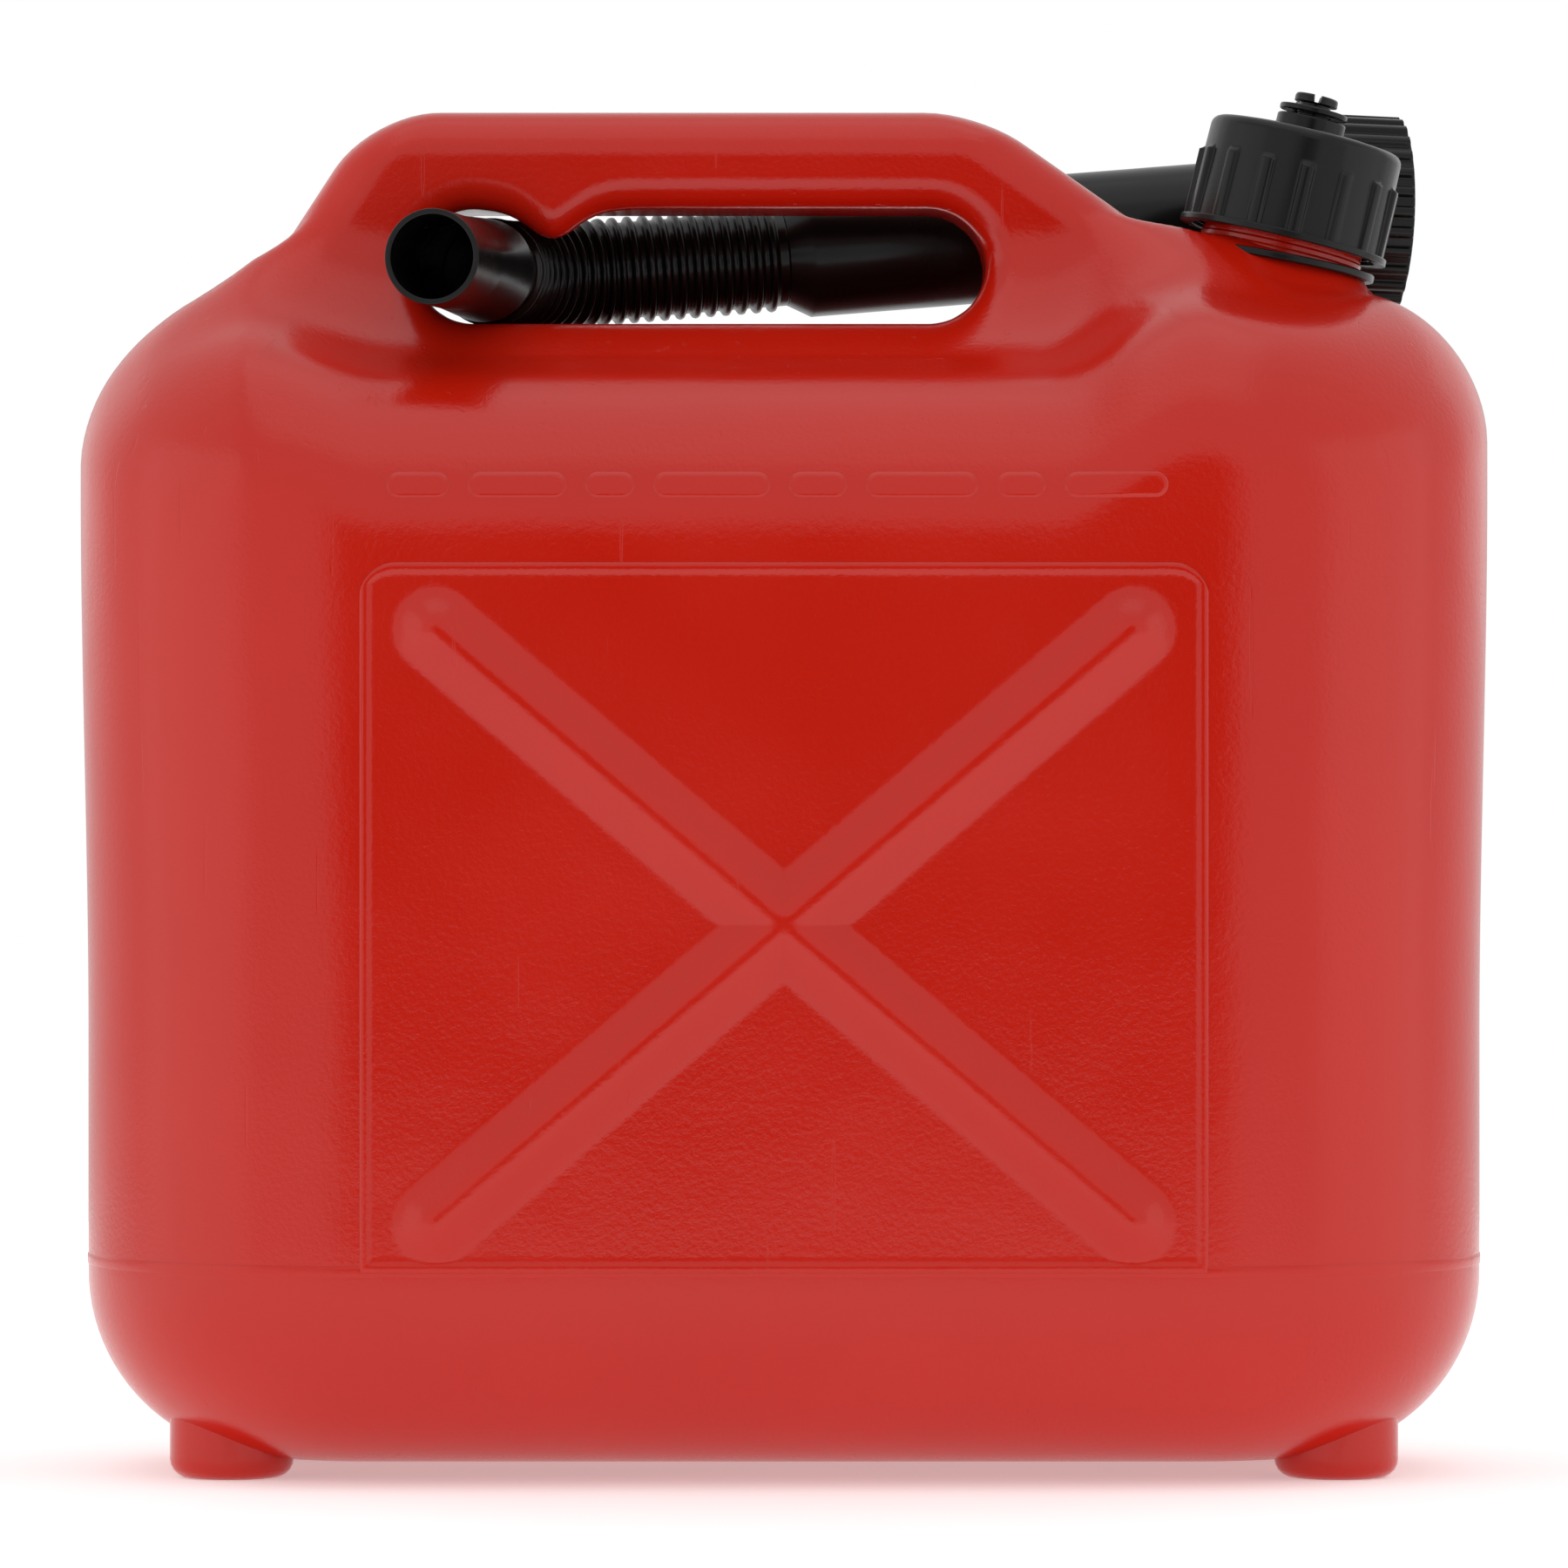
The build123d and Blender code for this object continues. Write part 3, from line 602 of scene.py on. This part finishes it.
def edge_steps(low, high, spacing):
    """Even steps between two limits, with finer ones near each limit."""
    near = np.array([0, 0.25, 0.5, 0.8, 1.2, 1.6, 2.0, 2.5, 3.2, 4.2])
    return np.concatenate([low + near, np.arange(low + 5.2, high - 4.6, spacing), high - near[::-1]])


def bar_distance(x, z, start, end):
    """Distance from the straight line between two points."""
    run = np.subtract(end, start)
    t = np.clip(((x - start[0]) * run[0] + (z - start[1]) * run[1]) / (run @ run), 0, 1)
    return np.hypot(x - start[0] - t * run[0], z - start[1] - t * run[1])


panel_half, panel_low, panel_high, panel_corner = 94, 48.4, 206, 8.2
panel_x, panel_v = np.meshgrid(
    edge_steps(-panel_half, panel_half, 0.85), edge_steps(panel_low, panel_high, 0.85)
)
past_corner = np.maximum(np.abs(panel_x) - (panel_half - panel_corner), 0)
panel_top = panel_high - (panel_corner - np.sqrt(np.maximum(panel_corner ** 2 - past_corner ** 2, 0)))
panel_z = panel_low + (panel_v - panel_low) * (panel_top - panel_low) / (panel_high - panel_low)
panel_edge = np.minimum(
    np.minimum(panel_half - np.abs(panel_x), panel_z - panel_low), panel_top - panel_z
)
rib_near = np.minimum(
    bar_distance(panel_x, panel_z, (-77, 60), (77, 191)),
    bar_distance(panel_x, panel_z, (-77, 191), (77, 60)),
)
rib = 3.65 * (1 - ramp(rib_near, 0.5, 9.8))
border = 0.3 * ramp(panel_edge, 0.2, 0.9) * (1 - ramp(panel_edge, 1.7, 3.0))
panel_stand = -0.5 * (1 - ramp(panel_edge, 0, 0.3)) + 0.1 + border + rib
panel_depth = depth_at(panel_x, panel_z) + panel_stand
for end, side in (("front", -1), ("rear", 1)):
    panel = grid_piece(
        f"{end}_panel", np.stack([panel_x, side * panel_depth, panel_z], -1), "can", red_hdpe,
        loops=(False, False), outward=(0, side, 0),
    )

# %% Raised dashes over the front panel
dash_ends = np.array([-88, -74, -70, -48, -44, -33, -29, -3, 1, 14, 18, 43, 47, 58, 62, 85.0])
dash_radius = 2.9
dash_x, dash_z = np.meshgrid(np.arange(-90, 87.1, 0.55), np.linspace(219.2, 226.8, 20))
dash_middle = (dash_ends[0::2] + dash_ends[1::2]) / 2
dash_half = (dash_ends[1::2] - dash_ends[0::2]) / 2
beyond = np.maximum(np.abs(dash_x[..., None] - dash_middle) - (dash_half - dash_radius), 0)
dash_near = np.hypot(beyond, dash_z[..., None] - 223).min(-1) - dash_radius
dash_depth = depth_at(dash_x, dash_z) - 0.35 + 0.75 * (1 - ramp(dash_near, -0.7, 0.5))
dashes = grid_piece(
    "front_dashes", np.stack([dash_x, -dash_depth, dash_z], -1), "can", red_hdpe,
    loops=(False, False), outward=(0, -1, 0),
)

# %% [markdown]
# ## Cap and captive strap
# The grip shell has fifteen ribs, a thin flange and a split snap post for the strap's loop. The
# strap is one flexible moulding: a ring on the neck, a band up behind the cap, and the loop.

# %% Cap shell
grip_count, grip_width, grip_radius = 15, 2.9, 23.6
shell_top, shell_bore, flange_radius = 25.4, 21.45, 24.2
slot_half_width, slot_floor = 0.75, 32.9
cap_turns, cap_rib = ribbed_turns(grip_count, grip_width, 22.5)
cap_turns = cap_turns - np.radians(88)
cap_path = rounded(
    [(0, 34.7), (5, 34.7), (5, 32.7), (3.6, 32.7), (3.6, 29.4), (8, 29.4), (8, shell_top),
     (22.3, shell_top), (22.7, 1.6), (flange_radius, 1.6), (flange_radius, 0), (shell_bore, 0),
     (shell_bore, 23.8), (0, 23.8)],
    [0.7, 0.3, 0.2, 0.3, 0.5, 0.4, 2.2, 0.2, 0.3, 0.3, 0.3, 0.3], 0.45,
)
cap_r, cap_h = cap_path[:, :1], cap_path[:, 1:]
on_wall = (cap_r > 22.0) & (cap_r < grip_radius) & (cap_h < 18)
grip = (grip_radius - cap_r) * cap_rib * (1 - ramp(cap_h, 16.9, 17.6))
cap_radius = cap_r + np.where(on_wall, grip, 0)
on_top = (np.abs(cap_h - shell_top) < 0.05) & (cap_r > 9)
rim_arc = np.exp(-((cap_r - 17.2) / 0.7) ** 4) * (np.abs(np.sin(2 * cap_turns + 0.4)) > 0.45)
across, along_y = cap_radius * np.cos(cap_turns), cap_radius * np.sin(cap_turns)
in_slot = (np.minimum(np.abs(across), np.abs(along_y)) < slot_half_width) & (cap_h > slot_floor)
cap_height = np.where(in_slot, slot_floor, cap_h + np.where(on_top, 0.35 * rim_arc, 0))
cap_local = np.stack([across, along_y, cap_height], -1)
cap = grid_piece("cap_shell", placed(cap_local, *neck_frame), "grip_cap", black_pp)
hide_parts("cap_outer")

# %% Strap
lean = np.radians(2.7)
up, across = np.array(neck_up), np.array(neck_across)
ring_up = np.cos(lean) * up - np.sin(lean) * across
ring_across = np.cos(lean) * across + np.sin(lean) * up
ring_frame = (np.array(neck_origin) - 4.4 * up, ring_up, ring_across)
ring_profile = ring_path([(19, -0.9), (22.4, -0.9), (22.4, 0.9), (19, 0.9)], 0.45)
turned_piece("strap_collar", ring_profile, ring_frame, "can", black_pp, "strap_ring")
loop_profile = ring_path([(3.9, 30.2), (7.9, 30.2), (7.9, 31.6), (3.9, 31.6)], 0.4)
turned_piece("strap_eye", loop_profile, neck_frame, "strap_end", black_pp, "strap_loop")

behind, crown = 25.9, 33.1
route = rounded(
    [(22.1, -4.4), (behind, -4.4), (behind, crown), (13.9, crown), (7.7, 30.9)], [2.2, 6.0, 1.8], 0.9
)
ahead = np.gradient(route, axis=0)
ahead = ahead / np.linalg.norm(ahead, axis=1)[:, None]
aside = np.stack([ahead[:, 1], -ahead[:, 0]], -1)
strip = ring_path([(-4, -0.7), (4, -0.7), (4, 0.7), (-4, 0.7)], 0.35, 0.8)
band_yz = route[:, None] + strip[None, :, 1:] * aside[:, None]
band_x = np.broadcast_to(strip[None, :, :1], (*band_yz.shape[:2], 1))
band_local = np.concatenate([band_x, band_yz], -1)
band = grid_piece("strap_strip", placed(band_local, *neck_frame), None, black_pp)
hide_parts("strap_band")
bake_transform(band)

# %% [markdown]
# ## Stored spout
# The spout passes through the hand hole. Its axis is a line, an arc of 35 mm and a line, from the
# nozzle in front to the tube behind. The bellows' crests are 3.6 mm apart. The loose union nut
# hangs on the tube behind the cap.

# %% Spout axis
bend_radius, crest_pitch = 35, 3.6
crest_radius, root_radius, inner_radius = 12.5, 11.2, 10.3
nozzle_radius, nozzle_length, tube_radius = 11.9, 54, 14.3
nozzle_tip = np.array([hole_left + nozzle_radius - 6.8, -60.0, hole_middle - 0.35])
corner = np.array(
    [hole_left + crest_radius + 8.9, handle_half_depth + crest_radius - 8.9, hole_middle - 0.55]
)
nut_centre = np.array([neck_x + 14.6, 52.0, neck_z + 9.8])
to_tube = nut_centre + np.array([0, 0, 0.37]) - corner
to_nozzle = nozzle_tip - corner
nut_away, nozzle_away = np.linalg.norm(to_tube), np.linalg.norm(to_nozzle)
to_tube, to_nozzle = to_tube / nut_away, to_nozzle / nozzle_away
mouth = corner + to_tube * ((handle_half_depth + tube_radius - 1.5 - corner[1]) / to_tube[1])
tube_length = nut_away + 17.5 - np.linalg.norm(mouth - corner)
bend = np.pi - np.arccos(to_tube @ to_nozzle)
bend_start = corner + to_tube * bend_radius * np.tan(bend / 2)
bend_end = corner + to_nozzle * bend_radius * np.tan(bend / 2)
nozzle_foot = nozzle_tip - to_nozzle * nozzle_length
inner_way = (to_tube + to_nozzle) / np.linalg.norm(to_tube + to_nozzle)
bend_centre = corner + inner_way * bend_radius / np.cos(bend / 2)
straight, bent = np.linalg.norm(mouth - bend_start), bend_radius * bend
length = straight + bent + np.linalg.norm(nozzle_foot - bend_end)
print("bellows:", round(length, 1), "mm,", round(np.degrees(bend), 1), "degree bend")

# %% Bellows
travel = np.linspace(0, length, int(length / 0.33))
before, after = np.minimum(travel - straight, 0), np.maximum(travel - straight - bent, 0)
swing = np.clip((travel - straight) / bend_radius, 0, bend)[:, None]
radial = (bend_start - bend_centre) / bend_radius
outward = radial * np.cos(swing) - to_tube * np.sin(swing)
spine = bend_centre + bend_radius * outward
spine = spine - to_tube * before[:, None] + to_nozzle * after[:, None]
spine_way = -to_tube * np.cos(swing) - radial * np.sin(swing)
flat_way = np.cross(spine_way, outward)
flat_way = flat_way / np.linalg.norm(flat_way, axis=1)[:, None]
third_way = np.cross(spine_way, flat_way)
crests = int((length - crest_pitch) // crest_pitch)
phase = np.abs((travel / crest_pitch + 0.5) % 1 - 0.5) * crest_pitch
crest = (1 - ramp(phase, 0.45, 1.35)) * (travel > 1.8) * (travel < crests * crest_pitch + 1.8)
rib_line = 0.12 * np.exp(-(phase / 0.22) ** 2) * crest
folds = root_radius + 1.18 * crest + rib_line
turns = full_turn[::2] + 0.02
ring_ways = flat_way[:, None] * np.cos(turns)[:, None] + third_way[:, None] * np.sin(turns)[:, None]
bellows_out = spine[:, None] + folds[:, None, None] * ring_ways
bellows_in = spine[:, None] + inner_radius * ring_ways
bellows_points = np.concatenate([bellows_out, bellows_in[::-6]])
bellows = grid_piece("bellows", bellows_points, "spout", black_pe, loops=(True, True))
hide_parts("spout_bellows")

# %% Nozzle, tube and gasket
nozzle_profile = ring_path(
    [(10.75, 0), (10.75, 24), (11.85, 50.6), (11.85, 51.2), (11.3, 51.4), (11.3, 53.7),
     (10.3, 53.7), (10.3, 48), (9.45, 24), (9.45, 0)],
    0.28, 1.5,
)
turned_piece(
    "nozzle", nozzle_profile, (nozzle_tip, -to_nozzle), "spout", black_pe, "spout_nozzle"
)
top = tube_length - 9
under, flange_out, pilot = top - 2.2, 18.1, 10.5
tube_frame = (mouth, to_tube)
tube_profile = ring_path(
    [(root_radius, 0.1), (tube_radius, 5.6), (tube_radius, under), (flange_out, under), (flange_out, top),
     (pilot, top), (pilot, top + 9), (8.9, top + 9), (8.9, under), (12.7, top - 5.2), (12.7, 5.6), (9.6, 0.1)],
    0.3, 2.0,
)
turned_piece("spout_stem", tube_profile, tube_frame, "spout", black_pp, "spout_tube")
gasket_low, gasket_high = top + 0.05, top + 1.75
gasket_profile = ring_path(
    [(10.55, gasket_low), (17.9, gasket_low), (17.9, gasket_high), (10.55, gasket_high)], 0.25
)
turned_piece("gasket", gasket_profile, tube_frame, "spout", seal_nbr, "spout_gasket")

# %% Union nut
nut_radius, nut_grip_radius, nut_length = 22.4, 23.8, 30.4
nut_hole, nut_bore, nut_shoulder = 17.1, 20.15, 2.4
nut_turns, nut_rib = ribbed_turns(30, 2.2, 22.8)
nut_lean, nut_swing = np.radians(-2.0), np.radians(8.4)
nut_way = np.array(
    [np.cos(nut_lean) * np.cos(nut_swing), np.cos(nut_lean) * np.sin(nut_swing), np.sin(nut_lean)]
)
nut_profile = rounded(
    [(18, 0), (nut_radius, 0), (nut_radius, nut_length), (nut_bore, nut_length),
     (nut_bore, nut_shoulder), (nut_hole, nut_shoulder), (nut_hole, 0), (18, 0)],
    [2.9, 0.4, 0.3, 0.3, 0.3, 0.3], 0.5,
)[:-1]
nut_r, nut_h = nut_profile[:, :1], nut_profile[:, 1:]
grip_ends = ramp(nut_h, 1.2, 3.2) * (1 - ramp(nut_h, 29.9, nut_length))
on_wall = (nut_r > 21.6) & (nut_h > 0.4)
nut_out = np.where(on_wall, (nut_grip_radius - nut_r) * nut_rib * grip_ends, 0)
nut_in = np.where((nut_r < 20.3) & (nut_h > 3), 1.25 * thread(nut_h, nut_turns, 6.0), 0)
nut_local = lathe(nut_profile, nut_turns)
nut_local[..., :2] *= (1 + (nut_out - nut_in) / nut_r)[..., None]
nut_place = placed(nut_local, nut_centre - 0.5 * nut_length * nut_way, nut_way)
nut = grid_piece("union_nut", nut_place, "union_nut", black_pp, loops=(True, True))
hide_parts("spout_nut")

# %% Pieces that keep their CAD form
for node, material in (("cap_inner", black_pp), ("cap_seal", seal_nbr)):
    kept = bpy.data.objects[node]
    kept.data.materials.clear()
    kept.data.materials.append(material)

# %% [markdown]
# ## Camera, light and floor
# The can stands in a white light tent whose walls, roof and floor glow. Only a small opening round
# the camera is dark. The flat panel faces that opening, which is why it shows its deep red.

# %% Stage
camera = bpy.data.objects.new("camera", bpy.data.cameras.new("camera"))
camera.data.lens, camera.data.sensor_width = 200.0, 36.0
camera.location = (0, -2.0, 0.1568)
camera.rotation_euler = (np.pi / 2, 0, 0)
camera.data.clip_end = 50
bpy.context.scene.collection.objects.link(camera)
bpy.context.scene.camera = camera
bpy.context.scene.view_settings.view_transform = "Standard"


def soft_light(name, place, size, power):
    """A square area light at a place, aimed at the middle of the can."""
    light = bpy.data.lights.new(name, "AREA")
    light.size, light.energy = size, power
    lamp = bpy.data.objects.new(name, light)
    lamp.location = place
    lamp.rotation_euler = (Vector((0, 0, 0.17)) - Vector(place)).to_track_quat("-Z", "Y").to_euler()
    bpy.context.scene.collection.objects.link(lamp)


soft_light("left_wall", (-1.2, -0.35, 0.3), 1.1, 1.5)
soft_light("right_wall", (1.2, -0.35, 0.3), 1.1, 1.5)
soft_light("roof", (0, -0.25, 1.5), 1.3, 2.0)
soft_light("left_rear", (-0.9, 1.0, 0.6), 0.8, 0.6)
soft_light("right_rear", (0.9, 1.0, 0.6), 0.8, 0.6)

floor_paint, tree, shader, place = new_material(
    "matt_white_floor_paint", Roughness=0.9, Emission_Strength=0.35
)
mottle = add_node(tree, "ShaderNodeTexNoise", Vector=place, Scale=30.0, Detail=3.0)
shade = add_node(
    tree, "ShaderNodeMix", {"data_type": "RGBA"},
    i0=mottle.outputs["Fac"], i6=linear("#F2F2F2"), i7=linear("#F8F8F8"),
)
tree.links.new(shade.outputs[2], shader.inputs["Base Color"])
shader.inputs["Emission Color"].default_value = (1, 1, 1, 1)
turns = np.linspace(0, 2 * np.pi, 97)[:-1]
rings = np.array([0, 300, 700, 1150.0])[:, None]
floor_points = np.stack([rings * np.cos(turns), rings * np.sin(turns), 0 * rings * turns], -1)
floor = grid_piece("floor", floor_points, None, floor_paint, outward=(0, 0, 1))

world = bpy.data.worlds.new("light_tent")
world.use_nodes = True
bpy.context.scene.world = world
tree = world.node_tree
sight = add_node(tree, "ShaderNodeTexCoord").outputs["Generated"]
parts = add_node(tree, "ShaderNodeSeparateXYZ", Vector=sight)
glow = add_node(tree, "ShaderNodeMapRange", Value=parts.outputs["Y"], i1=-0.99, i2=-0.965, i3=0.0, i4=0.8)
tent = add_node(tree, "ShaderNodeBackground", Color=(1, 1, 1, 1), Strength=glow.outputs[0])
paper = add_node(tree, "ShaderNodeBackground", Color=(1, 1, 1, 1), Strength=1.0)
seen = add_node(tree, "ShaderNodeLightPath").outputs["Is Camera Ray"]
both = add_node(tree, "ShaderNodeMixShader", i0=seen, i1=tent.outputs[0], i2=paper.outputs[0])
tree.links.new(both.outputs[0], tree.nodes["World Output"].inputs["Surface"])
print("stage ready")
